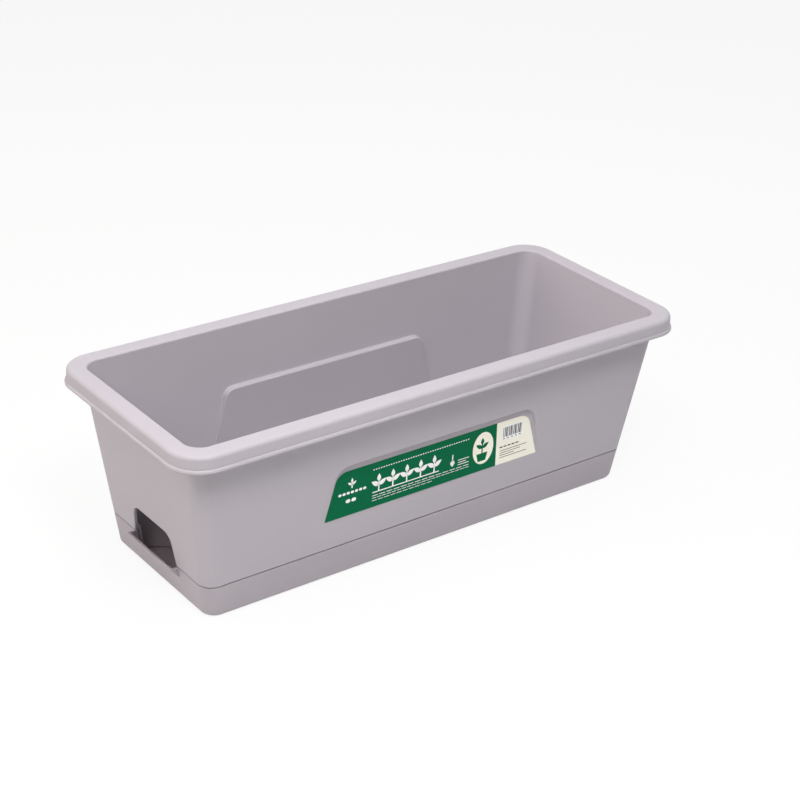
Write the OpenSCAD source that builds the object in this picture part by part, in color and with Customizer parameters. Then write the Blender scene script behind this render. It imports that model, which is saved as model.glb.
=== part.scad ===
// Rectangular trough planter, moulded in three pieces: a planter body with a
// rolled rim, the water tray that it stands in, and a label on its front wall.
// Millimetres. X runs along the length, Y to the back, Z up, and the origin is
// at the middle of the footprint, on the surface that the planter stands on.

/* [Overall] */
// Length over the rim's lip
rim_l = 510; // [420:5:640]
// Width over the rim's lip
rim_w = 210; // [180:5:280]
// Height from the surface to the top of the rim
total_h = 165; // [140:1:240]
// Length of the base, where the end walls' slopes meet the surface
base_l = 435; // [360:5:560]
// Width of the base, where the long walls' slopes meet the surface
base_w = 150; // [130:5:220]

/* [Walls] */
// Thickness of the planter body's wall and floor
wall_t = 2.6; // [2:0.1:4]
// Corner radius of the outer wall at the base
base_r = 13; // [8:1:24]
// Corner radius of the outer wall under the rim
neck_r = 11; // [10:1:28]
// Radius of the moulded edge inside, between the floor and the walls
inner_edge_r = 6; // [3:1:12]

/* [Rim] */
// Depth of the rim, from its top to the underside of its lip
rim_h = 14; // [12:1:26]
// How far the lip stands out from the rim's skirt
lip_out = 1.4; // [1:0.2:4]
// Thickness of the lip, where it leaves the skirt
lip_h = 2.5; // [2:0.5:5]
// Height of the lip's upright edge, under its slope
lip_edge_h = 1.2; // [1.2:0.2:1.8]
// Thickness of the rim's top and skirt
rim_t = 2.4; // [2:0.1:3.5]
// Space under the rim between the lip's edge and the wall
wall_inset = 16.6; // [12.6:0.2:18]
// Radius of the rim's outer shoulder
shoulder_r = 3.6; // [3.6:0.2:5.6]
// Radius of the rim's inner edge
brim_r = 2.4; // [2.4:0.2:3.6]
// Rise of the rim's crown over its shoulder
crown_h = 0.2; // [0:0.1:1]

/* [Tray] */
// Height of the water tray
tray_h = 30; // [24:1:45]
// Thickness of the tray's wall and floor
tray_t = 2.4; // [1.8:0.1:3.5]
// Radius of the tray's bottom edge
tray_edge_r = 5; // [3:0.5:8]
// Width of the flat foot round the tray's underside
tray_foot_w = 14; // [8:1:24]
// Rise of the tray's underside inside that foot
tray_rise = 1.2; // [0.6:0.2:3]
// Free space between the tray's wall and the planter body inside it
nest_gap = 0.9; // [0.6:0.1:2]
// Open seam between the tray's edge and the planter body's shoulder
seam_gap = 0.6; // [0.3:0.1:1.5]
// Height of the feet that hold the body's floor off the tray
foot_h = 7; // [5:0.5:12]
// Diameter of those feet
foot_d = 16; // [10:1:24]
// Height of the ribs across the tray's floor
rib_h = 2; // [1:0.5:4]
// Thickness of those ribs
rib_t = 1.8; // [1.2:0.1:3]
// Number of ribs across the tray's floor
rib_n = 4; // [2:1:8]

/* [Fill window] */
// Width of the window in the end wall, at the seam
window_w = 66; // [50:1:80]
// Height of the window above the seam
window_h = 28; // [20:1:40]
// How much narrower the window is at its top, on each side
window_lean = 3; // [0:0.5:8]
// Radius of the window's top corners
window_r = 10; // [4:0.5:12]
// Radius of the fill niche behind the window
niche_r = 45; // [38:1:52]
// Height of the niche's ceiling above the window
niche_rise = 3; // [1:0.5:8]
// Radius of the edge at the top of the niche
niche_edge_r = 8; // [4:1:14]
// Gap between the niche's lower edge and the tray's floor, where water passes
niche_gap = 1.2; // [0.6:0.2:4]
// How far the pouring lip stands out from the tray
spout_out = 6.5; // [4:0.5:10]
// Height of the pouring lip's slope
spout_drop = 11; // [8:0.5:16]
// Thickness of the pouring lip
spout_t = 1.8; // [1.4:0.1:3]

/* [Label panel] */
// Width of the flat panel in the long walls, at its top
panel_w = 210; // [140:2:260]
// How much wider the panel grows on each side, for each millimetre down
panel_lean = 0.21; // [0:0.01:0.4]
// Height of the panel's top edge above the surface
panel_top = 107; // [90:1:125]
// Height at which the upright panel fades out in the leaning wall
panel_foot = 54.4; // [44:0.2:70]
// Radius of the panel's top corners
panel_r = 13; // [6:1:18]
// Radius of the same corners on the wall's inner face
ledge_r = 10; // [6:1:20]
// Border between the panel's outline and the label
label_margin = 3.5; // [2:0.5:6]
// Height of the label
label_h = 41; // [25:1:60]
// Radius of the label's top corners
label_r = 12; // [4:1:18]
// Thickness of the label
label_t = 0.4; // [0.3:0.1:0.8]

/* [Drainage] */
// Length of each drain slot
slot_l = 22; // [12:1:34]
// Width of each drain slot
slot_w = 3.6; // [2.4:0.2:3.8]
// Number of drain slots along the floor, in each row
slot_n = 7; // [3:1:9]

/* [Hidden] */
$fn = 64;

// Steps of each corner's arc, and of each moulded edge's arc
corner_n = 12;
edge_n = 5;
// Overrun of every cut past the face that it leaves
cut_over = 1;
// Free space left between the label's lower edge and the panel's end
label_foot = 4.2;
// Lean of the rim's skirt over its height
skirt_lean = 0.3;
// Radius of the small edges of the lip and of the seam
fine_r = 0.5;
// Radius of the planter body's bottom edge, inside the tray
sole_r = 3;
// How far a hollow bites into the wall beside it, so that no film is left
skim = 0.1;

lip_z = total_h - rim_h;
seam_z = tray_h + seam_gap;
floor_z = tray_rise + tray_t;
sole_z = floor_z + foot_h;
soil_z = sole_z + wall_t;
lip_r = neck_r + wall_inset;
nest_in = tray_t + nest_gap;
niche_top = tray_h + window_h + niche_rise;

// Half the length and half the width of the outer wall at a height, and its
// corner radius there. The wall keeps its lean up into the rim.
function lean_at(z) = z / lip_z;
function wall_x(z) = base_l / 2 + (rim_l / 2 - wall_inset - base_l / 2) * lean_at(z);
function wall_y(z) = base_w / 2 + (rim_w / 2 - wall_inset - base_w / 2) * lean_at(z);
function wall_r(z) = base_r + (neck_r - base_r) * lean_at(z);

// A point of the side profile is [inset from the outer wall, height], and below
// the rim each one becomes a rounded rectangle. An arc of the profile turns
// about [inset, height] from angle a0 to a1, 0 pointing inward and 90 up.
function arc(i, z, r, a0, a1) =
    [for (k = [0:edge_n]) let (a = a0 + (a1 - a0) * k / edge_n) [i + r * cos(a), z + r * sin(a)]];
function rounded(hx, hy, r, z) =
    [for (q = [0:3]) for (k = [0:corner_n])
        let (a = 90 * (q + k / corner_n),
             cx = (q == 0 || q == 3 ? 1 : -1) * (hx - r),
             cy = (q < 2 ? 1 : -1) * (hy - r))
        [cx + r * cos(a), cy + r * sin(a), z]];
function wall_ring(p) =
    rounded(wall_x(p[1]) - p[0], wall_y(p[1]) - p[0], max(wall_r(p[1]) - p[0], fine_r), p[1]);
// On the rim, insets are counted from the lip's own outline.
function rim_ring(p) =
    rounded(rim_l / 2 - p[0], rim_w / 2 - p[0], lip_r - p[0], p[1]);

// One closed solid through a stack of rings, capped at the first and the last.
module loft(rings) {
    m = len(rings[0]);
    n = len(rings);
    polyhedron(
        points = [for (ring = rings) each ring],
        faces = concat(
            [[for (k = [0:m - 1]) k]],
            [for (j = [0:n - 2]) for (k = [0:m - 1]) let (l = (k + 1) % m) each
                [[j * m + k, (j + 1) * m + k, j * m + l],
                 [j * m + l, (j + 1) * m + k, (j + 1) * m + l]]],
            [[for (k = [m - 1:-1:0]) (n - 1) * m + k]]),
        convexity = 8);
}

// The two round top corners of an upright outline, w its half width at the top
function top_corners(w, top, r) =
    [for (q = [0, 1]) for (k = [0:2 * edge_n]) let (a = 90 * (q + k / (2 * edge_n)))
        [(q == 0 ? w - r : r - w) + r * cos(a), top - r + r * sin(a)]];

// Outline of the panel or the label in the long wall, narrower at the top, from
// height z0 to z1, its top corners of radius r. grow widens it all round.
function side_outline(z0, z1, grow, r) =
    let (half = panel_w / 2 + grow,
         w0 = half + panel_lean * (panel_top - z0),
         w1 = half + panel_lean * (panel_top - z1))
    concat([[-w0, z0], [w0, z0]], top_corners(w1, z1, r));
// The same outline, standing upright, from y0 to y1
module side_plate(z0, z1, grow, r, y0, y1)
    translate([0, y1, 0]) rotate([90, 0, 0])
        linear_extrude(height = y1 - y0) polygon(side_outline(z0, z1, grow, r));

// The panel stands upright at the wall's narrower end, so it fades out at its foot.
panel_y = min(wall_y(panel_foot), wall_y(panel_top));
label_z0 = panel_foot + label_foot;

// Feet stand in two rows between the niche and the far end.
foot_x = [for (k = [-1:1]) k * (base_l / 2 - niche_r - foot_d)];
foot_y = base_w / 2 - nest_in - sole_r - foot_d;

// Where the drain slots lie, between the feet
slot_pitch = (base_l - 2 * niche_r - 4 * foot_d) / slot_n;
slot_row_y = foot_y - foot_d / 2 - slot_l / 2;

// Planter body

// The body's outside, from its sole up to the top of the rim
module body_blank() {
    outside = concat(
        arc(nest_in + sole_r, sole_z + sole_r, sole_r, -90, -180),
        [[nest_in, seam_z], [fine_r, seam_z], [0, seam_z + fine_r]]);
    under_top = total_h - crown_h - rim_t;
    neck = [[0, lip_z], [0, under_top - wall_t / 2], [-wall_t / 2, under_top]];
    // The shoulder's two arcs share a centre, so the rim keeps its thickness there.
    shoulder_in = lip_out + skirt_lean + shoulder_r;
    shoulder_z = total_h - crown_h - shoulder_r;
    skirt = concat(
        arc(shoulder_in, shoulder_z, shoulder_r - rim_t, 90, 180),
        [[lip_out + rim_t, lip_z], [fine_r, lip_z], [0, lip_z + fine_r],
         [0, lip_z + lip_edge_h], [lip_out, lip_z + lip_h]],
        arc(shoulder_in, shoulder_z, shoulder_r, 180, 90),
        [[(shoulder_in + wall_inset - brim_r) / 2, total_h]]);
    inside = concat(
        arc(wall_t - brim_r, total_h - crown_h - brim_r, brim_r, 90, 0),
        [[wall_t, seam_z + wall_t + nest_in], [nest_in + wall_t, seam_z + wall_t]],
        arc(nest_in + wall_t + inner_edge_r, soil_z + inner_edge_r, inner_edge_r, 180, 270));
    loft(concat(
        [for (p = concat(outside, neck)) wall_ring(p)],
        [for (p = skirt) rim_ring(p)],
        [for (p = inside) wall_ring(p)]));
}

// Everything inside the body's outer wall, held t away from it
module inner_space(t) {
    profile = [[nest_in + t, 0], [nest_in + t, seam_z + t], [t, seam_z + t + nest_in], [t, lip_z]];
    loft([for (p = profile) wall_ring(p)]);
}

// The panel of one long wall, thick enough for the wall to keep its thickness
module panel_back() intersection() {
    inner_space(wall_t / 2);
    side_plate(panel_foot - 2 * wall_t, panel_top + wall_t, wall_t, ledge_r,
        -wall_y(panel_top), -panel_y + wall_t);
}
module panel_cut()
    side_plate(panel_foot - cut_over, panel_top, 0, panel_r, -wall_y(lip_z) - cut_over, -panel_y);

// A round-topped post at the end wall: the niche's skin, and its hollow
module niche_post(r, top, edge) translate([-wall_x(tray_h), 0, 0])
    rotate_extrude() polygon(concat([[0, 0], [r, 0]], arc(r - edge, top - edge, edge, 0, 90), [[0, top]]));
module niche_skin() intersection() {
    inner_space(wall_t / 2);
    difference() {
        niche_post(niche_r + wall_t, niche_top + wall_t, niche_edge_r + wall_t);
        cube([2 * base_l, 2 * base_w, 2 * (floor_z + niche_gap)], center = true);
    }
}
module niche_hollow() intersection() {
    inner_space(wall_t - skim);
    niche_post(niche_r, niche_top, niche_edge_r);
}

// The window's outline across Y, run along X through the end wall
module window_cut() {
    w = window_w / 2;
    outline = concat([[-w, 0], [w, 0], [w, tray_h]],
        top_corners(w - window_lean, tray_h + window_h, window_r), [[-w, tray_h]]);
    // It ends just past the inner face of the wall at the sole.
    x1 = wall_x(sole_z) - nest_in - wall_t - skim;
    translate([-rim_l / 2, 0, 0]) rotate([90, 0, 90])
        linear_extrude(height = rim_l / 2 - x1) polygon(outline);
}

// A drain slot with round ends, across the floor
module drain_slot() linear_extrude(height = soil_z + cut_over) {
    square([slot_w, slot_l - slot_w], center = true);
    for (s = [-1, 1]) translate([0, s * (slot_l - slot_w) / 2]) circle(d = slot_w);
}
module drain_slots()
    for (k = [0:slot_n - 1]) for (s = [-1, 1])
        translate([(k - (slot_n - 1) / 2) * slot_pitch, s * slot_row_y, 0]) drain_slot();

module planter_body() color("#a8a2a7") {
    difference() {
        union() {
            body_blank();
            panel_back();
            mirror([0, 1, 0]) panel_back();
            niche_skin();
        }
        panel_cut();
        mirror([0, 1, 0]) panel_cut();
        niche_hollow();
        window_cut();
        drain_slots();
    }
    for (x = foot_x) for (s = [-1, 1])
        translate([x, s * foot_y, floor_z]) cylinder(d = foot_d, h = foot_h + wall_t / 2);
}

// Water tray

module tray_blank() {
    outside = concat(
        [[tray_foot_w + tray_rise, tray_rise], [tray_foot_w, 0]],
        arc(tray_edge_r, tray_edge_r, tray_edge_r, -90, -180),
        [[0, tray_h - fine_r], [fine_r, tray_h]]);
    inside = concat([[tray_t - fine_r, tray_h], [tray_t, tray_h - fine_r]],
        arc(tray_t + sole_r, floor_z + sole_r, sole_r, 180, 270));
    loft([for (p = concat(outside, inside)) wall_ring(p)]);
}

// Everything inside the tray's outer wall, held t away from it
module tray_space(t) loft([wall_ring([t, 0]), wall_ring([t, tray_h + cut_over])]);

// Side profile of the pouring lip, and of the trough in it, t thick
module spout_profile(t) {
    x0 = wall_x(tray_h) + spout_out - t;
    z0 = tray_h - spout_drop;
    polygon([[-x0, tray_h + (t > 0 ? cut_over : 0)], [-x0, tray_h - spout_t / 2],
        [-wall_x(z0) + (t > 0 ? t : tray_t / 2), z0 + t / 2],
        [-wall_x(0) + nest_in, z0 + t / 2], [-wall_x(0) + nest_in, tray_h + (t > 0 ? cut_over : 0)]]);
}
module spout(t, w) translate([0, w / 2, 0]) rotate([90, 0, 0])
    linear_extrude(height = w) spout_profile(t);

module tray_ribs() {
    rib_z = floor_z - tray_t / 2;
    cross_l = 2 * (foot_y - foot_d / 2);
    long_l = base_l - 4 * niche_r;
    for (k = [0:rib_n - 1])
        translate([(k - (rib_n - 1) / 2) * long_l / rib_n - rib_t / 2, -cross_l / 2, rib_z])
            cube([rib_t, cross_l, rib_h + tray_t / 2]);
    translate([-long_l / 2, -rib_t / 2, rib_z]) cube([long_l, rib_t, rib_h + tray_t / 2]);
}

module water_tray() color("#a39da1") {
    difference() {
        union() {
            tray_blank();
            difference() {
                spout(0, window_w + 2 * spout_t);
                tray_space(tray_t);
            }
        }
        spout(spout_t, window_w);
    }
    tray_ribs();
}

// Front label

module front_label() color("#006a45")
    side_plate(label_z0, label_z0 + label_h, -label_margin, label_r,
        -panel_y - label_t, -panel_y);

water_tray();
planter_body();
front_label();
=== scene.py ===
"""Looks of a moulded trough planter with its water tray and front label.

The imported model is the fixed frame, and every length here is in millimetres until a mesh
is made from it, in metres. X runs along the trough, Y to the back and Z up.
"""

import logging
from dataclasses import dataclass, field
from enum import Enum
from math import atan, cos, hypot, pi, radians, sin
from typing import Iterable, Sequence

import bmesh
import bpy
from bpy.types import Material, Node, NodeSocket, NodeTree, Object
from mathutils import Matrix, Vector
from mathutils.geometry import delaunay_2d_cdt


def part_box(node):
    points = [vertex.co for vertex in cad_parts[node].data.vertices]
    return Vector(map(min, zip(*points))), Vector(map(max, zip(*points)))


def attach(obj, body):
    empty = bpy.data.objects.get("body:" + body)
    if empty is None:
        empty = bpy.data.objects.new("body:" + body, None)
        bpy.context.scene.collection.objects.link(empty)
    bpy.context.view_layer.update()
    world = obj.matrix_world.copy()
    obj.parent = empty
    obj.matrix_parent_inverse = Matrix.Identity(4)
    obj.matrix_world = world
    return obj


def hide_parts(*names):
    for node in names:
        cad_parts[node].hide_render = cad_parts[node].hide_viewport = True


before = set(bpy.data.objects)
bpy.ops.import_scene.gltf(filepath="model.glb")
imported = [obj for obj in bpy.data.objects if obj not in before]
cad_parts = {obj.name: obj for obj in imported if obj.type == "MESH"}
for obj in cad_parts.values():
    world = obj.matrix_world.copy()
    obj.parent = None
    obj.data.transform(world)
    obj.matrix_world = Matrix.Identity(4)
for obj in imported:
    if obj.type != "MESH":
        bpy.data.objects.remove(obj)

LOG = logging.getLogger("planter")
MM = 0.001
# Points of a mesh that lie closer than this are one.
WELD = 0.0005
# The middle of a small round, from the corner that it rounds, as a share of its radius.
BEND = 0.3
# Edges that turn more than this stay sharp.
SHARP_DEG = 38.0
Point2 = tuple[float, float]
Point3 = tuple[float, float, float]
Outline = list[Point2]


class Long(Enum):
    """The two long walls, by the sign of their Y."""

    FRONT = -1
    BACK = 1


class Cut(Enum):
    """How one solid changes another."""

    TAKE = "DIFFERENCE"
    JOIN = "UNION"
    KEEP = "INTERSECT"


class Ink(Enum):
    """The label's inks, by colour."""

    GREEN = "#006842"
    CREAM = "#fffbec"
    WHITE = "#ffffff"
    DARK = "#2c2f2e"


# Colour and nodes


def linear(hex_colour: str) -> tuple[float, float, float, float]:
    """Turns an sRGB hex colour into Blender's linear one.

    Args:
        hex_colour: Six hex digits after a hash.

    Returns:
        Red, green, blue and alpha, linear.
    """
    parts = [int(hex_colour[k:k + 2], 16) / 255 for k in (1, 3, 5)]
    made = [c / 12.92 if c <= 0.04045 else ((c + 0.055) / 1.055) ** 2.4 for c in parts]
    return made[0], made[1], made[2], 1.0


def add_node(tree: NodeTree, kind: str, inputs: dict | None = None, **settings) -> Node:
    """Adds a node with its settings, values and links.

    Args:
        tree: The tree that gets the node.
        kind: The node's type.
        inputs: Each input by name or number, as a value or as the socket that feeds it.
        settings: The node's own settings.

    Returns:
        The new node.
    """
    node = tree.nodes.new(kind)
    for name, value in settings.items():
        setattr(node, name, value)
    for name, value in (inputs or {}).items():
        if isinstance(value, NodeSocket):
            tree.links.new(value, node.inputs[name])
        else:
            node.inputs[name].default_value = value
    return node


@dataclass(frozen=True)
class Noise:
    """A noise that is fixed to the object, by the real width of its patches."""

    width_mm: float
    detail: float
    roughness: float = 0.5

    def add(self, tree: NodeTree) -> NodeSocket:
        """Adds the noise to a tree and returns its value."""
        values = {"Vector": add_node(tree, "ShaderNodeTexCoord").outputs["Object"],
                  "Scale": 1 / (self.width_mm * MM), "Detail": self.detail, "Roughness": self.roughness}
        return add_node(tree, "ShaderNodeTexNoise", values).outputs["Fac"]


@dataclass(frozen=True)
class Plastic:
    """A skin whose tint drifts, with a low relief that its sheen follows.

    The depth and the sheen are how far the colour, as a share, and the roughness go either way.
    """

    name: str
    colour: str
    tint: Noise
    depth: float
    relief: Noise
    height_mm: float
    strength: float
    sheen: float
    ior: float
    gloss: float = 0.5
    roughness: float = 0.5

    def build(self) -> Material:
        """Makes the finish.

        Returns:
            The node material.
        """
        material = bpy.data.materials.new(self.name)
        material.use_nodes = True
        tree = material.node_tree
        shader = tree.nodes["Principled BSDF"]
        shader.inputs["IOR"].default_value = self.ior
        shader.inputs["Specular IOR Level"].default_value = self.gloss
        base = linear(self.colour)[:3]
        deep, pale = ([min(1.0, c * (1 + way * self.depth)) for c in base] + [1.0] for way in (-1, 1))
        # A colour mix has its two colours at inputs 6 and 7, and the mixed one at output 2.
        tint = add_node(tree, "ShaderNodeMix", {0: self.tint.add(tree), 6: deep, 7: pale}, data_type="RGBA")
        relief = self.relief.add(tree)
        sheen = add_node(tree, "ShaderNodeMapRange",
                         {"Value": relief, "From Min": 0.3, "From Max": 0.7,
                          "To Min": self.roughness - self.sheen, "To Max": self.roughness + self.sheen})
        bump = add_node(tree, "ShaderNodeBump",
                        {"Height": relief, "Distance": self.height_mm * MM, "Strength": self.strength})
        tree.links.new(tint.outputs[2], shader.inputs["Base Color"])
        tree.links.new(sheen.outputs["Result"], shader.inputs["Roughness"])
        tree.links.new(bump.outputs["Normal"], shader.inputs["Normal"])
        return material


@dataclass(frozen=True)
class MouldedPolypropylene(Plastic):
    """Injection-moulded polypropylene from an eroded tool: a dull, even skin with a soft sheen.

    The eye gets a broad soft highlight, a very fine grain, and a faint cloudiness where
    the melt flowed.
    """

    tint: Noise = Noise(width_mm=70.0, detail=3.0, roughness=0.45)
    depth: float = 0.03
    # A spark-eroded grain is about 0.1 mm; it is drawn at 0.9 mm, so that it shows.
    relief: Noise = Noise(width_mm=0.9, detail=2.0, roughness=0.6)
    height_mm: float = 0.04
    strength: float = 1.0
    sheen: float = 0.04
    ior: float = 1.49


@dataclass(frozen=True)
class PrintedFilm(Plastic):
    """Polypropylene label film, gravure printed and varnished: an even colour under a matt coat.

    The eye gets flat, full colour with hardly any gloss, and the faint ripple of a film
    pressed on by hand.
    """

    tint: Noise = Noise(width_mm=14.0, detail=1.0)
    depth: float = 0.02
    relief: Noise = tint
    height_mm: float = 0.02
    strength: float = 0.6
    sheen: float = 0.03
    ior: float = 1.5
    # The varnish is a matt one, which gives back less of the studio than bare film does.
    gloss: float = 0.06


# Meshes


def turns(start_deg: float, end_deg: float, steps: int) -> list[float]:
    """Even angles from one to another, both counted, in radians."""
    return [radians(start_deg + (end_deg - start_deg) * k / steps) for k in range(steps + 1)]


def circle(steps: int) -> list[float]:
    """Even angles once round, in radians."""
    return [2 * pi * k / steps for k in range(steps)]


@dataclass
class Solid:
    """A closed mesh in the making, its points in millimetres."""

    points: list[Point3] = field(default_factory=list)
    faces: list[list[int]] = field(default_factory=list)

    def ring(self, points: Iterable[Point3]) -> list[int]:
        """Adds points and returns their numbers."""
        first = len(self.points)
        self.points.extend(points)
        return list(range(first, len(self.points)))

    def strip(self, lower: Sequence[int], upper: Sequence[int], skip: Sequence[int] = ()) -> None:
        """Joins two closed rings of equal length with quads.

        Args:
            lower: The first ring's numbers.
            upper: The second ring's numbers.
            skip: Sides that stay open, each by the number of its first point.
        """
        count = len(lower)
        for k in range(count):
            if k not in skip:
                after = (k + 1) % count
                self.faces.append([lower[k], lower[after], upper[after], upper[k]])

    def stack(self, rings: Sequence[Sequence[Point3]]) -> None:
        """Joins a stack of rings into one closed solid with flat ends.

        Args:
            rings: The rings, from one end to the other.
        """
        numbers = [self.ring(points) for points in rings]
        for lower, upper in zip(numbers, numbers[1:]):
            self.strip(lower, upper)
        self.faces.append(numbers[0][::-1])
        self.faces.append(numbers[-1])

    def fill(self, corners: Sequence[int], hole: Sequence[int]) -> None:
        """Fills an upright flat between its four corners and a hole in it.

        Args:
            corners: The corners' numbers, in order.
            hole: The numbers of the hole's edge, in order.
        """
        numbers = [*corners, *hole]
        flat = [Vector((self.points[n][0], self.points[n][2])) for n in numbers]
        first, count = len(corners), len(hole)
        edges = [(k, (k + 1) % first) for k in range(first)]
        edges += [(first + k, first + (k + 1) % count) for k in range(count)]
        spots, _, triangles, origins, *_ = delaunay_2d_cdt(flat, edges, [], 1, 1e-6)
        for triangle in triangles:
            middle = sum((spots[k] for k in triangle), Vector((0, 0))) / 3
            if not inside(middle, flat[first:]):
                self.faces.append([numbers[origins[k][0]] for k in triangle])

    def build(self, name: str) -> Object:
        """Makes the mesh, welded and with its faces turned outward.

        Args:
            name: The object's name.

        Returns:
            The new object, at the origin.
        """
        work = bmesh.new()
        corners = [work.verts.new([c * MM for c in point]) for point in self.points]
        for face in self.faces:
            work.faces.new([corners[k] for k in face])
        bmesh.ops.remove_doubles(work, verts=work.verts, dist=WELD * MM)
        bmesh.ops.dissolve_degenerate(work, edges=work.edges, dist=WELD * MM)
        bmesh.ops.recalc_face_normals(work, faces=work.faces)
        mesh = bpy.data.meshes.new(name)
        work.to_mesh(mesh)
        work.free()
        made = bpy.data.objects.new(name, mesh)
        bpy.context.scene.collection.objects.link(made)
        return made


def inside(spot: Vector, outline: Sequence[Vector]) -> bool:
    """Whether a spot lies inside a closed outline, by how many of its sides are to the right."""
    sides = [(a, b) for a, b in zip(outline, [*outline[1:], outline[0]]) if (a.y > spot.y) != (b.y > spot.y)]
    return sum(spot.x < a.x + (b.x - a.x) * (spot.y - a.y) / (b.y - a.y) for a, b in sides) % 2 == 1


def stacked(name: str, rings: Sequence[Sequence[Point3]]) -> Object:
    """Makes an object from a stack of rings.

    Args:
        name: The object's name.
        rings: The rings, from one end to the other.

    Returns:
        The closed solid.
    """
    solid = Solid()
    solid.stack(rings)
    return solid.build(name)


def turned(x: float, y: float, profile: Sequence[Point2], steps: int) -> Object:
    """Turns a profile of radii and heights about the upright axis at x and y."""
    return stacked("turned", [[(x + r * cos(t), y + r * sin(t), z) for t in circle(steps)]
                              for r, z in profile])


def settle(piece: Object) -> None:
    """Applies a piece's modifiers to its mesh.

    Args:
        piece: The piece.
    """
    graph = bpy.context.evaluated_depsgraph_get()
    graph.update()
    done = bpy.data.meshes.new_from_object(piece.evaluated_get(graph), depsgraph=graph)
    piece.modifiers.clear()
    piece.data = done


def combine(piece: Object, tool: Object, how: Cut) -> None:
    """Changes one closed solid by another, and deletes the other.

    Args:
        piece: The solid that changes.
        tool: The solid that is taken from it, joined to it, or holds what is kept of it.
        how: Which of the three.
    """
    change = piece.modifiers.new("combine", "BOOLEAN")
    change.operation = how.value
    change.solver = "MANIFOLD"
    change.object = tool
    settle(piece)
    bpy.data.objects.remove(tool)


def smooth(piece: Object) -> None:
    """Shades a piece smooth, with its flat faces kept flat and its real edges sharp.

    Args:
        piece: The piece.
    """
    for face in piece.data.polygons:
        face.use_smooth = True
    piece.data.set_sharp_from_angle(angle=radians(SHARP_DEG))
    weigh = piece.modifiers.new("flat_faces", "WEIGHTED_NORMAL")
    weigh.mode = "FACE_AREA"
    weigh.keep_sharp = True
    settle(piece)


def dress_moulding(piece: Object, finish: Material) -> None:
    """Shades a moulding and gives it its plastic.

    Args:
        piece: The moulding.
        finish: The plastic.
    """
    smooth(piece)
    piece.data.materials.clear()
    piece.data.materials.append(finish)


# The form that the pieces share


@dataclass(frozen=True)
class Trough:
    """The leaning trough that the tray, the body and the label all follow.

    Its base is measured where the walls' slopes meet the surface.
    """

    rim_l: float
    rim_w: float
    total_h: float
    tray_h: float
    base_l: float = 435.0
    base_w: float = 150.0
    base_r: float = 13.0
    neck_r: float = 11.0
    lip_r: float = 29.5
    inner_r: float = 14.4
    rim_h: float = 14.0
    wall_inset: float = 16.6
    wall_t: float = 2.6
    tray_t: float = 2.4
    tray_rise: float = 1.2
    nest_gap: float = 0.9
    seam_gap: float = 0.9
    foot_h: float = 7.0
    least_r: float = 0.5
    corner_n: int = 20
    edge_n: int = 8

    @property
    def lip_z(self) -> float:
        """Height of the lip's underside."""
        return self.total_h - self.rim_h

    @property
    def seam_z(self) -> float:
        """Height of the body's shoulder, over the seam."""
        return self.tray_h + self.seam_gap

    @property
    def floor_z(self) -> float:
        """Height of the tray's floor."""
        return self.tray_rise + self.tray_t

    @property
    def sole_z(self) -> float:
        """Height of the body's underside."""
        return self.floor_z + self.foot_h

    @property
    def soil_z(self) -> float:
        """Height of the body's floor."""
        return self.sole_z + self.wall_t

    @property
    def nest_in(self) -> float:
        """How far the nested part of the body lies inside the wall's own plane."""
        return self.tray_t + self.nest_gap

    def wall_x(self, z: float) -> float:
        """Half the length of the outer wall at a height."""
        return self.base_l / 2 + (self.rim_l / 2 - self.wall_inset - self.base_l / 2) * z / self.lip_z

    def wall_y(self, z: float) -> float:
        """Half the width of the outer wall at a height."""
        return self.base_w / 2 + (self.rim_w / 2 - self.wall_inset - self.base_w / 2) * z / self.lip_z

    def wall_r(self, z: float) -> float:
        """Corner radius of the outer wall at a height."""
        return self.base_r + (self.neck_r - self.base_r) * z / self.lip_z

    def rounded(self, half_x: float, half_y: float, radius: float, inset: float, z: float) -> list[Point3]:
        """One level rounded rectangle, from the right end's back corner round to the front.

        Args:
            half_x: Half the length that the inset is taken from.
            half_y: Half the width that it is taken from.
            radius: The corner radius that it is taken from.
            inset: How far the rectangle lies inside.
            z: Its height.

        Returns:
            The points.
        """
        radius = max(radius - inset, self.least_r)
        reach_x, reach_y = half_x - inset - radius, half_y - inset - radius
        points = []
        for quarter, (along, across) in enumerate(((1, 1), (-1, 1), (-1, -1), (1, -1))):
            for k in range(self.corner_n + 1):
                turn = radians(90 * (quarter + k / self.corner_n))
                x, y = along * reach_x + radius * cos(turn), across * reach_y + radius * sin(turn)
                points.append((x, y, z))
        return points

    def wall_ring(self, point: Point2) -> list[Point3]:
        """The rounded rectangle at an inset from the outer wall and a height."""
        z = point[1]
        return self.rounded(self.wall_x(z), self.wall_y(z), self.wall_r(z), *point)

    def inner_ring(self, point: Point2) -> list[Point3]:
        """The same rectangle, with the rounder corners of the wall's inner face."""
        z = point[1]
        return self.rounded(self.wall_x(z), self.wall_y(z), self.inner_r + self.wall_t, *point)

    def rim_ring(self, point: Point2) -> list[Point3]:
        """The rounded rectangle at an inset from the lip's outline and a height."""
        return self.rounded(self.rim_l / 2, self.rim_w / 2, self.lip_r, *point)

    def arc(self, inset: float, z: float, radius: float, start_deg: float, end_deg: float) -> list[Point2]:
        """Points of a profile's arc about a middle, 0 degrees pointing inward and 90 up."""
        return [(inset + radius * cos(t), z + radius * sin(t))
                for t in turns(start_deg, end_deg, self.edge_n)]

    def side(self, wall: Long) -> int:
        """Number of the ring's point that starts a long wall's straight stretch."""
        return self.corner_n if wall is Long.BACK else 3 * self.corner_n + 2


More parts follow.
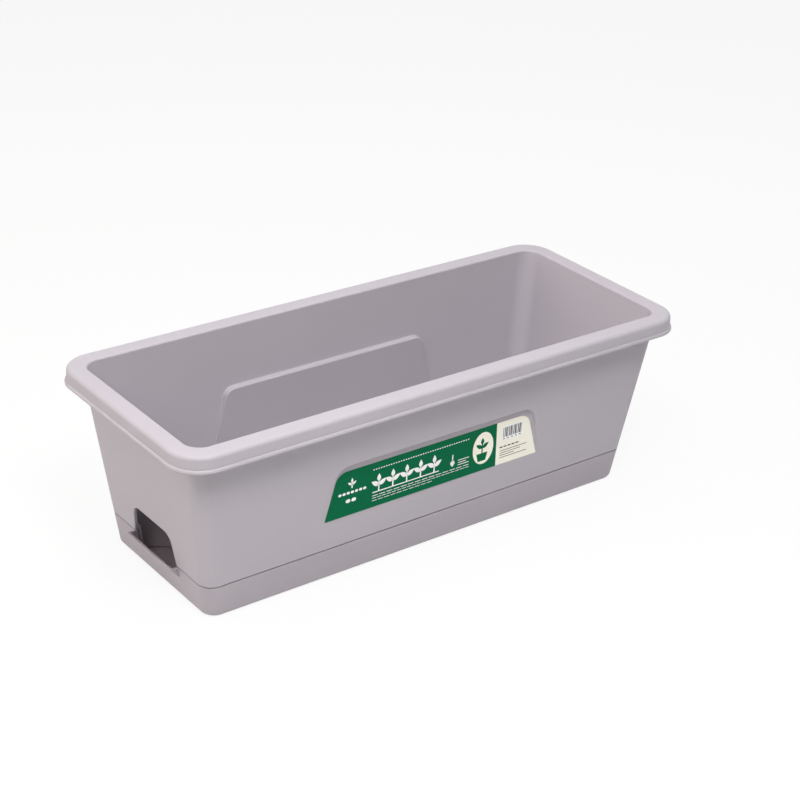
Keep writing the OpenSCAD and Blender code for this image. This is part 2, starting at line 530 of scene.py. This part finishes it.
@dataclass(frozen=True)
class Panel:
    """The upright flat in a long wall: its outline, and how deep it stands in the wall."""

    form: Trough
    width: float = 210.0
    lean: float = 0.21
    top: float = 107.0
    foot: float = 54.4
    corner_r: float = 13.0
    ledge_r: float = 10.0
    # The most of the panel's depth that its edge's radius takes.
    edge_share: float = 0.45
    steps: int = 14

    @property
    def plane_y(self) -> float:
        """Distance of the panel's face from the middle plane."""
        return min(self.form.wall_y(self.foot), self.form.wall_y(self.top))

    def outline(self, z0: float, z1: float, grow: float, radius: float) -> list[tuple[Point2, Point2]]:
        """The outline with round top corners, from its lower right corner anticlockwise.

        Args:
            z0: Height of its foot.
            z1: Height of its top.
            grow: How far it is widened on each side.
            radius: Radius of its top corners.

        Returns:
            Pairs of a point (x, z) and the outward direction there.
        """
        low = self.width / 2 + grow + self.lean * (self.top - z0)
        high = self.width / 2 + grow + self.lean * (self.top - z1)
        slope = (low - high) / (z1 - radius - z0)
        tilt = atan(slope)
        centre_x = high - radius * hypot(1, slope)
        centre_z = z1 - radius
        side_out = (cos(tilt), sin(tilt))
        end_x, end_z = centre_x + radius * side_out[0], centre_z + radius * side_out[1]
        half = []
        for k in range(self.steps):
            share = k / self.steps
            half.append(((low + (end_x - low) * share, z0 + (end_z - z0) * share), side_out))
        for k in range(self.steps + 1):
            turn = tilt + (pi / 2 - tilt) * k / self.steps
            out = (cos(turn), sin(turn))
            half.append(((centre_x + radius * out[0], centre_z + radius * out[1]), out))
        mirrored = [((-p[0], p[1]), (-n[0], n[1])) for p, n in reversed(half)]
        return half + mirrored

    def edge(self, point: Point2, out: Point2, inset: float, edge_r: float) -> list[Point3]:
        """The moulded edge at one place of the outline, from the wall down to the panel's face.

        Args:
            point: The place (x, z).
            out: The outward direction there.
            inset: Depth of this skin behind the outer wall.
            edge_r: Radius of the edge.

        Returns:
            Points down the edge, on the back wall.
        """
        (x, z), wall_y = point, self.form.wall_y
        depth = max(wall_y(z) - self.plane_y, 0.0)
        r = min(edge_r, depth * self.edge_share)
        quarter = turns(0, 90, self.steps)
        path = [(r - r * sin(t), r - r * cos(t)) for t in quarter[:-1]]
        path += [(r * cos(t) - r, depth - r + r * sin(t)) for t in quarter]
        points = []
        for grow, down in path:
            level = z + grow * out[1]
            left = 1 - down / depth if depth > 0 else 0.0
            y = (wall_y(level) - self.plane_y) * left + self.plane_y - inset
            points.append((x + grow * out[0], y, level))
        return points

    def fit_wall(self, solid: Solid, wall: Long, corners: Sequence[int], inset: float, edge_r: float) -> None:
        """Closes one long wall between two rings, with the panel let into it.

        Args:
            solid: The solid being made.
            wall: Which long wall.
            corners: The numbers of the wall's four corners, in order.
            inset: Depth of this skin behind the outer wall.
            edge_r: Radius of the panel's moulded edge.
        """
        line = self.outline(self.foot, self.top + inset, inset, self.ledge_r if inset else self.corner_r)
        columns = [self.edge(point, out, inset, edge_r) for point, out in line]
        rings = [solid.ring((x, wall.value * y, z) for x, y, z in level) for level in zip(*columns)]
        foot_side = len(line) - 1
        for lower, upper in zip(rings, rings[1:]):
            solid.strip(lower, upper, skip=(foot_side,))
        solid.faces.append(rings[-1])
        solid.fill(corners, rings[0])


# Planter body


@dataclass
class PlanterBody:
    """The moulded body: walls, rolled rim, panels, fill niche, floor, feet and drain slots."""

    form: Trough
    panel: Panel
    inner_edge_r: float = 6.0
    lip_out: float = 1.4
    lip_h: float = 2.9
    lip_edge_h: float = 0.6
    lip_crease: float = 0.4
    rim_t: float = 2.4
    shoulder_r: float = 3.6
    brim_r: float = 1.6
    crown_h: float = 0.2
    skirt_lean: float = 0.3
    fine_r: float = 0.5
    shelf_r: float = 0.6
    sole_r: float = 3.0
    panel_edge_r: float = 1.0
    ledge_edge_r: float = 1.3
    window_w: float = 66.0
    window_h: float = 28.0
    window_lean: float = 3.0
    window_r: float = 10.0
    window_edge_r: float = 0.9
    # How much wider the cutter is at its mouth, in radii of the window's edge.
    window_mouth: float = 1.35
    window_n: int = 12
    niche_r: float = 45.0
    niche_rise: float = 3.0
    niche_edge_r: float = 8.0
    niche_edge_n: int = 10
    niche_gap: float = 1.2
    niche_n: int = 96
    foot_d: float = 16.0
    foot_edge_r: float = 0.6
    foot_edge_n: int = 4
    foot_n: int = 40
    slot_l: float = 22.0
    slot_w: float = 3.6
    slot_count: int = 7
    slot_edge_r: float = 0.6
    slot_edge_deg: float = 75.0
    slot_edge_n: int = 5
    slot_n: int = 12
    edge_n: int = 6
    skim: float = 0.1
    over: float = 4.0

    @property
    def niche_top(self) -> float:
        """Height of the niche's hollow."""
        return self.form.tray_h + self.window_h + self.niche_rise

    @property
    def foot_y(self) -> float:
        """Distance of the feet's rows from the middle plane."""
        return self.form.base_w / 2 - self.form.nest_in - self.sole_r - self.foot_d

    def shell(self) -> Object:
        """Makes the body's skin, from its sole over the rim and down to its floor.

        Returns:
            The skin, as one closed solid with a floor.
        """
        form = self.form
        fine, shelf, deep, thick = self.fine_r, self.shelf_r, form.nest_in, form.wall_t
        nested = form.arc(deep + self.sole_r, form.sole_z + self.sole_r, self.sole_r, -90, -180)
        nested += [(deep, form.seam_z - shelf), (deep - shelf / 3, form.seam_z - shelf / 4),
                   (deep - shelf, form.seam_z), (fine, form.seam_z), (fine * BEND, form.seam_z + fine * BEND)]
        neck, top = thick / 2, form.total_h - self.crown_h - self.rim_t
        outer = nested + [(0.0, form.seam_z + fine), (0.0, top - neck), (-neck * BEND, top - neck * BEND),
                          (-neck, top)]
        skirt, r = self.skirt_line(), self.brim_r
        brim = form.arc(thick - r, form.total_h - self.crown_h - r, r, 90, 0)
        inner = [(thick, form.seam_z + thick + deep), (deep + thick, form.seam_z + thick)]
        r = self.inner_edge_r
        inner += form.arc(deep + thick + r, form.soil_z + r, r, 180, 270)
        solid = Solid()
        rings = [solid.ring(form.wall_ring(p)) for p in outer]
        rings += [solid.ring(form.rim_ring(p)) for p in skirt]
        rings += [solid.ring(form.inner_ring(p)) for p in brim + inner]
        outer_wall = len(nested)
        inner_wall = len(outer + skirt + brim) - 1
        sides = [form.side(wall) for wall in Long]
        for k in range(len(rings) - 1):
            solid.strip(rings[k], rings[k + 1], skip=sides if k in (outer_wall, inner_wall) else ())
        solid.faces += [rings[0][::-1], rings[-1]]
        skins = ((rings[outer_wall], rings[outer_wall + 1], 0.0, self.panel_edge_r),
                 (rings[inner_wall + 1], rings[inner_wall], thick, self.ledge_edge_r))
        for wall in Long:
            k = form.side(wall)
            for low, high, inset, edge_r in skins:
                self.panel.fit_wall(solid, wall, (low[k], low[k + 1], high[k + 1], high[k]), inset, edge_r)
        return solid.build("planter_shell")

    def skirt_line(self) -> Outline:
        """Profile of the rolled rim, down the skirt's inside, round the lip and up to the crown.

        Returns:
            Insets from the lip's outline, and heights.
        """
        form, r = self.form, self.fine_r
        shoulder_in = self.lip_out + self.skirt_lean + self.shoulder_r
        shoulder_z = form.total_h - self.crown_h - self.shoulder_r
        line = form.arc(shoulder_in, shoulder_z, self.shoulder_r - self.rim_t, 90, 180)
        line += [(self.lip_out + self.rim_t, form.lip_z + r), (self.lip_out + self.rim_t - r, form.lip_z)]
        line += form.arc(r, form.lip_z + r, r, -90, -180)
        low, high, crease = form.lip_z + self.lip_edge_h, form.lip_z + self.lip_h, self.lip_crease
        line += [(self.lip_out * (1 - cos(t)), low + (high - low) * sin(t))
                 for t in turns(0, 90, self.edge_n)]
        line += [(self.lip_out + crease / 8, high + crease / 8), (self.lip_out + crease / 5, high + crease)]
        line += form.arc(shoulder_in, shoulder_z, self.shoulder_r, 180, 90)
        return line + [((shoulder_in + form.wall_inset - self.brim_r) / 2, form.total_h)]

    def post(self, low: float, grow: float, gap: float) -> Object:
        """Makes a round-topped post at the left end wall, kept inside the body.

        Args:
            low: Height of its foot.
            grow: How far it lies outside the niche's hollow.
            gap: How far it is held away from the outer wall.

        Returns:
            The post.
        """
        form = self.form
        radius, top, edge = self.niche_r + grow, self.niche_top + grow, self.niche_edge_r + grow
        profile = [(radius, low)] + [(radius - edge + edge * cos(t), top - edge + edge * sin(t))
                                     for t in turns(0, 90, self.niche_edge_n)]
        made = turned(-form.wall_x(form.tray_h), 0.0, profile, self.niche_n)
        space = [(form.nest_in + gap, 0.0), (form.nest_in + gap, form.seam_z + gap),
                 (gap, form.seam_z + gap + form.nest_in), (gap, form.lip_z)]
        combine(made, stacked("inner_space", [form.wall_ring(p) for p in space]), Cut.KEEP)
        return made

    def window(self) -> Object:
        """Makes the window's cutter through the left end wall, flared so that its edge is round.

        Returns:
            The cutter.
        """
        form = self.form
        half, top, r = self.window_w / 2, form.tray_h + self.window_h, self.window_r
        narrow = half - self.window_lean
        right = [((half, 0.0), (1.0, 0.0)), ((half, form.tray_h), (1.0, 0.0))]
        for turn in turns(0, 90, self.window_n):
            out = (cos(turn), sin(turn))
            right.append(((narrow - r + r * out[0], top - r + r * out[1]), out))
        line = right + [((-y, z), (-out[0], out[1])) for (y, z), out in reversed(right)]
        edge = self.window_edge_r
        flare = [(edge * self.window_mouth, -self.over), (edge, -self.skim)]
        flare += [(edge - edge * sin(t), edge - edge * cos(t)) for t in turns(0, 90, self.edge_n)[1:]]
        deep = form.wall_x(form.floor_z + self.niche_gap) - form.nest_in - form.wall_t - self.skim
        rings = [[(depth - form.wall_x(z), y + grow * out[0], z + grow * out[1]) for (y, z), out in line]
                 for grow, depth in flare]
        return stacked("window_cutter", rings + [[(-deep, y, z) for (y, z), out in line]])

    def slot(self, x: float, y: float) -> Object:
        """Makes one drain slot's cutter, flared at the floor so that its edge is round.

        Args:
            x: Place of the slot's middle.
            y: Place of the slot's middle.

        Returns:
            The cutter.
        """
        form, edge = self.form, self.slot_edge_r
        half, r = (self.slot_l - self.slot_w) / 2, self.slot_w / 2
        levels = [(0.0, form.sole_z - self.over), (0.0, form.soil_z - edge)]
        levels += [(edge - edge * cos(t), form.soil_z - edge + edge * sin(t))
                   for t in turns(0, self.slot_edge_deg, self.slot_edge_n)[1:]]
        levels.append((edge, form.soil_z + self.over))
        ends = ((half, turns(0, 180, self.slot_n)), (-half, turns(180, 360, self.slot_n)))
        return stacked("slot_cutter", [[(x + (r + grow) * cos(t), y + end + (r + grow) * sin(t), z)
                                        for end, angles in ends for t in angles] for grow, z in levels])

    def foot(self, x: float, y: float) -> Object:
        """Makes one round foot under the floor, with a small moulded edge at its toe.

        Args:
            x: Place of the foot's axis.
            y: Place of the foot's axis.

        Returns:
            The foot.
        """
        form, edge, r = self.form, self.foot_edge_r, self.foot_d / 2
        profile = [(r - edge + edge * sin(t), form.floor_z + edge - edge * cos(t))
                   for t in turns(0, 90, self.foot_edge_n)]
        return turned(x, y, profile + [(r, form.sole_z + form.wall_t / 2)], self.foot_n)

    def build(self, finish: Material) -> Object:
        """Builds the body as one moulding.

        Args:
            finish: The plastic.

        Returns:
            The body, riding on the planter.
        """
        form = self.form
        body = self.shell()
        skin = self.post(form.floor_z + self.niche_gap, form.wall_t, form.wall_t / 2)
        combine(body, skin, Cut.JOIN)
        combine(body, self.post(-self.over, 0.0, form.wall_t - self.skim), Cut.TAKE)
        combine(body, self.window(), Cut.TAKE)
        pitch = (form.base_l - 2 * self.niche_r - 4 * self.foot_d) / self.slot_count
        row_y = self.foot_y - self.foot_d / 2 - self.slot_l / 2
        for k in range(self.slot_count):
            for wall in Long:
                x = (k - (self.slot_count - 1) / 2) * pitch
                combine(body, self.slot(x, wall.value * row_y), Cut.TAKE)
        for k in (-1, 0, 1):
            for wall in Long:
                x = k * (form.base_l / 2 - self.niche_r - self.foot_d)
                combine(body, self.foot(x, wall.value * self.foot_y), Cut.JOIN)
        dress_moulding(body, finish)
        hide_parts("planter_body")
        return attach(body, "planter")


# Water tray


@dataclass
class WaterTray:
    """The shallow tray: walls, floor, ribs and the pouring lip under the window."""

    form: Trough
    edge_r: float = 5.0
    foot_w: float = 14.0
    sole_r: float = 3.0
    fine_r: float = 0.6
    rib_h: float = 2.0
    rib_t: float = 1.8
    rib_edge_r: float = 0.4
    rib_n: int = 4
    spout_w: float = 66.0
    spout_out: float = 6.5
    spout_drop: float = 11.0
    spout_t: float = 1.8
    spout_edge_r: float = 0.9
    trough_edge_r: float = 0.54
    # The spout's corners that turn more than this are rounded, in this many steps.
    spout_edge_deg: float = 20.0
    spout_edge_n: int = 4
    over: float = 4.0

    def shell(self) -> Object:
        """Makes the tray's wall and floor.

        Returns:
            The two as one solid.
        """
        form, r = self.form, self.fine_r
        line = [(self.foot_w + form.tray_rise, form.tray_rise), (self.foot_w, 0.0)]
        line += form.arc(self.edge_r, self.edge_r, self.edge_r, -90, -180)
        line += form.arc(r, form.tray_h - r, r, 180, 90)
        line += form.arc(form.tray_t - r, form.tray_h - r, r, 90, 0)
        line += form.arc(form.tray_t + self.sole_r, form.floor_z + self.sole_r, self.sole_r, 180, 270)
        return stacked("tray_shell", [form.wall_ring(p) for p in line])

    def prism(self, thick: float, skin: float, top: float, edge_r: float) -> Object:
        """Makes a wedge across the left end wall, for the pouring lip or for the trough in it.

        Args:
            thick: How far it lies inside the lip's outside.
            skin: How far its foot lies inside the wall's plane.
            top: Height of its top.
            edge_r: Radius of its edges.

        Returns:
            The wedge.
        """
        form = self.form
        x0 = form.wall_x(form.tray_h) + self.spout_out - thick
        z0 = form.tray_h - self.spout_drop
        back = form.wall_x(0) - form.nest_in
        profile = [(-x0, top), (-x0, form.tray_h - self.spout_t / 2),
                   (-form.wall_x(z0) + skin, z0 + thick / 2), (-back, z0 + thick / 2), (-back, top)]
        half = self.spout_w / 2 + self.spout_t - thick
        made = stacked("spout", [[(x, y, z) for x, z in profile] for y in (-half, half)])
        soft = made.modifiers.new("moulded_edge", "BEVEL")
        soft.width = edge_r * MM
        soft.segments = self.spout_edge_n
        soft.limit_method = "ANGLE"
        soft.angle_limit = radians(self.spout_edge_deg)
        settle(made)
        return made

    def rib(self, length_x: float, length_y: float, x: float) -> Object:
        """Makes one low rib on the tray's floor, with soft upper edges.

        Args:
            length_x: Its length along X.
            length_y: Its length along Y.
            x: Place of its middle.

        Returns:
            The rib.
        """
        low = self.form.floor_z - self.form.tray_t / 2
        high = self.form.floor_z + self.rib_h
        r = self.rib_edge_r
        rings = []
        for shrink, z in ((0.0, low), (0.0, high - r), (r * BEND, high - r * BEND), (r, high)):
            hx, hy = length_x / 2 - shrink, length_y / 2 - shrink
            rings.append([(x + hx, -hy, z), (x + hx, hy, z), (x - hx, hy, z), (x - hx, -hy, z)])
        return stacked("rib", rings)

    def build(self, finish: Material, body: PlanterBody) -> Object:
        """Builds the tray as one moulding.

        Args:
            finish: The plastic.
            body: The body, whose feet and niche the ribs stay clear of.

        Returns:
            The tray, riding on its own body.
        """
        form = self.form
        tray = self.shell()
        lip = self.prism(0.0, form.tray_t / 2, form.tray_h, self.spout_edge_r)
        space = [form.wall_ring((form.tray_t, z)) for z in (0.0, form.tray_h + self.over)]
        combine(lip, stacked("tray_space", space), Cut.TAKE)
        combine(tray, lip, Cut.JOIN)
        trough = self.prism(self.spout_t, self.spout_t, form.tray_h + self.over, self.trough_edge_r)
        combine(tray, trough, Cut.TAKE)
        across = 2 * (body.foot_y - body.foot_d / 2)
        along = form.base_l - 4 * body.niche_r
        for k in range(self.rib_n):
            x = (k - (self.rib_n - 1) / 2) * along / self.rib_n
            combine(tray, self.rib(self.rib_t, across, x), Cut.JOIN)
        combine(tray, self.rib(along, self.rib_t, 0.0), Cut.JOIN)
        dress_moulding(tray, finish)
        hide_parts("water_tray")
        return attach(tray, "tray")


# Printed marks, along the label from its middle and up from its lower edge


def rule(x: float, z: float, length: float, thick: float, steps: int = 8) -> Outline:
    """A level stroke with round ends, from x to the right, its middle at height z."""
    r, ends = thick / 2, ((x + length - thick / 2, -90), (x + thick / 2, 90))
    return [(end + r * cos(t), z + r * sin(t))
            for end, first in ends for t in turns(first, first + 180, steps)]


def row(count: int, pitch: float, x: float, z: float, length: float, thick: float) -> list[Outline]:
    """Like strokes side by side, the first one from x."""
    return [rule(x + pitch * k, z, length, thick) for k in range(count)]


def column(x: float, z: float, thick: float, lengths: Sequence[float], drop: float = 2.2) -> list[Outline]:
    """Strokes of several lengths under each other, the first one at height z."""
    return [rule(x, z - drop * k, length, thick) for k, length in enumerate(lengths)]


def bar(x: float, z: float, width: float, height: float) -> Outline:
    """An upright rectangle from its lower left corner."""
    return [(x, z), (x + width, z), (x + width, z + height), (x, z + height)]


def leaf(x: float, z: float, angle_deg: float, length: float, width: float) -> Outline:
    """A pointed leaf from its stalk's end.

    Args:
        x: Place of the stalk's end.
        z: Its height.
        angle_deg: Direction of the leaf, 90 being up.
        length: Its length.
        width: Its greatest width.

    Returns:
        The outline.
    """
    # The width swells to its most a little before the middle of the leaf.
    steps, swell = 10, 0.8
    turn = radians(angle_deg)
    ahead, left = (cos(turn), sin(turn)), (-sin(turn), cos(turn))
    shares = [k / steps for k in range(steps + 1)]
    right_side = [(s * length, -width / 2 * sin(pi * s ** swell)) for s in shares]
    left_side = [(a, -b) for a, b in reversed(right_side[1:-1])]
    return [(x + a * ahead[0] + b * left[0], z + a * ahead[1] + b * left[1])
            for a, b in right_side + left_side]


def oval(x: float, z: float, half_x: float, half_z: float, steps: int = 48) -> Outline:
    """An ellipse about its middle."""
    return [(x + half_x * cos(t), z + half_z * sin(t)) for t in circle(steps)]


def seedling(x: float, z: float, height: float, stalk_t: float = 1.3) -> list[Outline]:
    """A seedling: a stalk, a pair of leaves and a tip leaf, in shares of its height.

    Args:
        x: Place of the stalk.
        z: Height of its foot.
        height: Its height.
        stalk_t: Thickness of the stalk.

    Returns:
        The outlines.
    """
    leaves = ((0.34, 32, 0.56, 0.26), (0.34, 148, 0.56, 0.26), (0.56, 90, 0.46, 0.24))
    stalk = bar(x - stalk_t / 2, z, stalk_t, height * 0.62)
    return [stalk] + [leaf(x, z + height * rise, angle_deg, height * length, height * width)
                      for rise, angle_deg, length, width in leaves]


@dataclass(frozen=True)
class Print:
    """Marks in one ink, whose layer counts the inks at their place, this one counted."""

    name: str
    ink: Ink
    layer: int
    shapes: list[Outline]


def lay_out() -> list[Print]:
    """Lays out the label's plain marks: strokes, seedlings, a badge and a patch of even bars.

    Returns:
        The groups, in the order that they are printed.
    """
    strokes = row(7, pitch=4.1, x=-99.0, z=20.8, length=3.2, thick=2.4)
    strokes += row(2, pitch=5.6, x=-91.5, z=13.4, length=4.7, thick=3.2)
    strokes += row(40, pitch=2.52, x=-64.7, z=34.8, length=1.5, thick=0.9)
    strokes += row(14, pitch=7.3, x=-65.0, z=10.5, length=6.0, thick=0.55)
    strokes += row(20, pitch=5.1, x=-65.0, z=8.3, length=4.3, thick=0.45)
    strokes += row(10, pitch=6.3, x=-65.0, z=5.9, length=5.2, thick=0.45)
    strokes += column(x=24.0, z=17.6, thick=0.6, lengths=(12.0, 9.0, 12.0))
    plants = [shape for k in range(5) for shape in seedling(-58.5 + 14.3 * k, 13.8, height=16.0)]
    plants += seedling(-85.6, 24.6, height=9.0)
    trowel = [bar(17.6, 17.5, width=1.1, height=7.0),
              leaf(18.15, 19.5, -90, length=6.4, width=4.6)]
    ground = rule(-65.0, 13.6, length=69.0, thick=0.9)
    badge = oval(51.0, 21.6, half_x=11.2, half_z=15.2)
    pot = [(45.8, 9.5), (54.2, 9.5), (56.0, 17.0), (44.0, 17.0)]
    patch = bar(71.2, 22.8, width=23.4, height=13.1)
    bars = [bar(72.6 + 1.62 * k, 25.6, width=0.55 + 0.3 * (k % 3), height=9.2) for k in range(13)]
    bars += row(5, pitch=4.4, x=72.6, z=24.1, length=2.4, thick=0.7)
    lines = row(5, pitch=4.4, x=69.5, z=16.5, length=3.5, thick=1.1)
    lines += column(x=70.0, z=13.0, thick=0.5, lengths=(30.0, 23.0, 16.0, 30.0))
    return [Print("label_strokes", Ink.WHITE, 1, strokes),
            Print("label_seedlings", Ink.WHITE, 1, plants + trowel + [ground]),
            Print("label_badge", Ink.CREAM, 1, [badge]),
            Print("label_pot", Ink.GREEN, 2, [pot] + seedling(50.0, 17.0, height=14.5)),
            Print("label_patch", Ink.WHITE, 2, [patch]),
            Print("label_bars", Ink.DARK, 3, bars),
            Print("label_lines", Ink.DARK, 2, lines)]


# Front label


@dataclass
class FrontLabel:
    """The film label, and the plain printed marks on it."""

    panel: Panel
    margin: float = 3.5
    foot_gap: float = 4.2
    height: float = 41.0
    corner_r: float = 12.0
    thick: float = 0.4
    edge_r: float = 0.12
    divider_x: float = 65.5
    divider_lean: float = -0.5
    ink_t: float = 0.03
    ink_in: float = 0.05

    @property
    def low(self) -> float:
        """Height of the label's lower edge."""
        return self.panel.foot + self.foot_gap

    @property
    def face_y(self) -> float:
        """Y of the film's printed face."""
        return -(self.panel.plane_y + self.thick)

    def film(self, field_finish: Material, end_finish: Material) -> Object:
        """Builds the film, its long field and its right end printed in two colours.

        Args:
            field_finish: Print of the long field.
            end_finish: Print of the right end.

        Returns:
            The film, riding on the planter.
        """
        line = self.panel.outline(self.low, self.low + self.height, -self.margin, self.corner_r)
        foot_cut = ((self.divider_x - self.divider_lean, self.low), (0.0, -1.0))
        top_cut = ((self.divider_x + self.divider_lean, self.low + self.height), (0.0, 1.0))
        upper = next(k for k, ((x, z), n) in enumerate(line) if x < self.divider_x)
        points = line[:upper] + [top_cut] + line[upper:] + [foot_cut]
        r = self.edge_r
        solid = Solid()
        rings = [solid.ring((x - shrink * n[0], -(self.panel.plane_y + rise), z - shrink * n[1])
                            for (x, z), n in points)
                 for shrink, rise in ((0.0, 0.0), (0.0, self.thick - r), (r * BEND, self.thick - r * BEND),
                                      (r, self.thick))]
        for lower, higher in zip(rings, rings[1:]):
            solid.strip(lower, higher)
        face = rings[-1]
        solid.faces += [rings[0][::-1], face[:upper + 1] + [face[-1]], face[upper:]]
        film = solid.build("label_film")
        film.data.materials.append(field_finish)
        film.data.materials.append(end_finish)
        for polygon in film.data.polygons:
            at_end = polygon.center.x > self.divider_x * MM and polygon.normal.y < 0.5
            polygon.material_index = int(at_end)
        smooth(film)
        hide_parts("front_label")
        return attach(film, "planter")

    def print(self, group: Print, finish: Material) -> Object:
        """Prints a group of flat marks on the film.

        Args:
            group: The marks.
            finish: Their ink.

        Returns:
            The group, riding on the planter.
        """
        back, front = self.face_y + self.ink_in, self.face_y - self.ink_t * group.layer
        solid = Solid()
        for shape in group.shapes:
            solid.stack([[(x, y, self.low + z) for x, z in shape] for y in (back, front)])
        made = solid.build(group.name)
        made.data.materials.append(finish)
        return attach(made, "planter")


# Studio


@dataclass(frozen=True)
class SoftLight:
    """One soft box, aimed at the middle of the trough."""

    name: str
    place: Point3
    size: float
    power: float
    colour: str = "#ffffff"

    def build(self, target: Vector) -> None:
        """Hangs the light.

        Args:
            target: What it is turned to, in metres.
        """
        lamp = bpy.data.lights.new(self.name, "AREA")
        lamp.shape = "SQUARE"
        lamp.size = self.size * MM
        lamp.energy = self.power
        lamp.color = linear(self.colour)[:3]
        made = bpy.data.objects.new(self.name, lamp)
        made.location = Vector(self.place) * MM
        made.rotation_euler = (target - made.location).to_track_quat("-Z", "Y").to_euler()
        bpy.context.scene.collection.objects.link(made)


@dataclass
class Studio:
    """A white sweep, soft boxes and the camera."""

    floor_size: float = 12000.0
    floor_colour: str = "#f2f2f2"
    floor_roughness: float = 0.9
    white_share: float = 0.9
    air_light: float = 0.13
    camera_at: Point3 = (-858.5, -1124.8, 820.0)
    azimuth_deg: float = -38.055
    elevation_deg: float = 26.776
    roll_deg: float = 2.706
    focal_px: float = 1850.0
    image_px: float = 800.0
    sensor: float = 36.0
    sight: float = 50000.0
    lights: tuple[SoftLight, ...] = (
        SoftLight("top_box", (0.0, 0.0, 1200.0), 1500.0, 10.6),
        SoftLight("front_box", (-320.0, -600.0, 1000.0), 350.0, 6.4),
        SoftLight("left_box", (-1300.0, 900.0, 700.0), 900.0, 6.9, "#fff2e8"),
        SoftLight("window_box", (-900.0, -300.0, 900.0), 500.0, 2.6, "#fff2e8"),
        SoftLight("right_box", (1300.0, 0.0, 1500.0), 1100.0, 2.5),
    )

    def seen_share(self, tree: NodeTree, most: float) -> NodeSocket:
        """Makes a factor that only rays that are seen get, directly or in a reflection.

        Args:
            tree: The tree that gets the nodes.
            most: The factor for those rays; it is 0 for the light on the object.

        Returns:
            The factor.
        """
        path = add_node(tree, "ShaderNodeLightPath")
        seen = path.outputs["Is Camera Ray"]
        for name in ("Is Glossy Ray", "Is Transmission Ray"):
            either = add_node(tree, "ShaderNodeMath", {0: seen, 1: path.outputs[name]}, operation="MAXIMUM")
            seen = either.outputs[0]
        return add_node(tree, "ShaderNodeMath", {0: seen, 1: most}, operation="MULTIPLY").outputs[0]

    def sweep(self) -> None:
        """Lays the floor: white to the camera, and darker only where the planter shades it."""
        half = self.floor_size / 2
        solid = Solid()
        corners = [(-half, -half, 0), (half, -half, 0), (half, half, 0), (-half, half, 0)]
        solid.faces.append(solid.ring(corners))
        floor = solid.build("floor")
        material = bpy.data.materials.new("white_paper_sweep")
        material.use_nodes = True
        tree = material.node_tree
        shader = tree.nodes["Principled BSDF"]
        shader.inputs["Base Color"].default_value = linear(self.floor_colour)
        shader.inputs["Roughness"].default_value = self.floor_roughness
        glow = add_node(tree, "ShaderNodeEmission", {"Color": (1, 1, 1, 1), "Strength": 1.0})
        share = self.seen_share(tree, self.white_share)
        mixed = add_node(tree, "ShaderNodeMixShader",
                         {0: share, 1: shader.outputs["BSDF"], 2: glow.outputs["Emission"]})
        tree.links.new(mixed.outputs["Shader"], tree.nodes["Material Output"].inputs["Surface"])
        floor.data.materials.append(material)

    def air(self) -> None:
        """Sets the world: an even light, white where it is seen."""
        world = bpy.data.worlds.new("white_studio")
        world.use_nodes = True
        tree = world.node_tree
        tree.nodes.clear()
        even = add_node(tree, "ShaderNodeBackground", {"Color": (1, 1, 1, 1), "Strength": self.air_light})
        white = add_node(tree, "ShaderNodeBackground", {"Color": (1, 1, 1, 1), "Strength": 1.0})
        mixed = add_node(tree, "ShaderNodeMixShader",
                         {0: self.seen_share(tree, 1.0), 1: even.outputs[0], 2: white.outputs[0]})
        add_node(tree, "ShaderNodeOutputWorld", {"Surface": mixed.outputs["Shader"]})
        bpy.context.scene.world = world

    def camera(self) -> None:
        """Places the camera at the photograph's viewing angle."""
        az, el, roll = (radians(a) for a in (self.azimuth_deg, self.elevation_deg, self.roll_deg))
        back = Vector((sin(az) * cos(el), -cos(az) * cos(el), sin(el)))
        level = Vector((0, 0, 1)).cross(back).normalized()
        upright = back.cross(level)
        right = level * cos(roll) + upright * sin(roll)
        up = upright * cos(roll) - level * sin(roll)
        data = bpy.data.cameras.new("camera")
        data.sensor_width = self.sensor
        data.lens = self.focal_px / self.image_px * self.sensor
        data.clip_end = self.sight * MM
        made = bpy.data.objects.new("camera", data)
        turn = Matrix((right, up, back)).transposed().to_4x4()
        made.matrix_world = Matrix.Translation(Vector(self.camera_at) * MM) @ turn
        bpy.context.scene.collection.objects.link(made)
        bpy.context.scene.camera = made

    def build(self, target: Vector) -> None:
        """Sets up the camera, the air, the floor and the lights.

        Args:
            target: What the lights aim at, in metres.
        """
        self.camera()
        self.air()
        self.sweep()
        for light in self.lights:
            light.build(target)
        bpy.context.scene.view_settings.view_transform = "Standard"


def main() -> None:
    """Builds the studio and the planter's pieces in order."""
    logging.basicConfig(level=logging.INFO, format="%(message)s")
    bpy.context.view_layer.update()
    body_low, body_high = (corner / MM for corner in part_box("planter_body"))
    tray_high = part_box("water_tray")[1] / MM
    form = Trough(rim_l=body_high.x - body_low.x, rim_w=body_high.y - body_low.y,
                  total_h=body_high.z, tray_h=tray_high.z)
    panel = Panel(form)
    Studio().build(Vector((0.0, 0.0, form.total_h / 2)) * MM)

    body_plastic = MouldedPolypropylene("moulded_polypropylene_body", "#b5b0b7").build()
    tray_plastic = MouldedPolypropylene("moulded_polypropylene_tray", "#aea8af",
                                        tint=Noise(55.0, 3.0, 0.45)).build()
    body = PlanterBody(form, panel)
    pieces = [body.build(body_plastic), WaterTray(form).build(tray_plastic, body)]

    inks = {ink: PrintedFilm(f"printed_film_{ink.name.lower()}", ink.value).build() for ink in Ink}
    label = FrontLabel(panel)
    pieces.append(label.film(inks[Ink.GREEN], inks[Ink.CREAM]))
    pieces += [label.print(group, inks[group.ink]) for group in lay_out()]
    for piece in pieces:
        LOG.info("%s: %d faces", piece.name, len(piece.data.polygons))


if __name__ == "__main__":
    main()
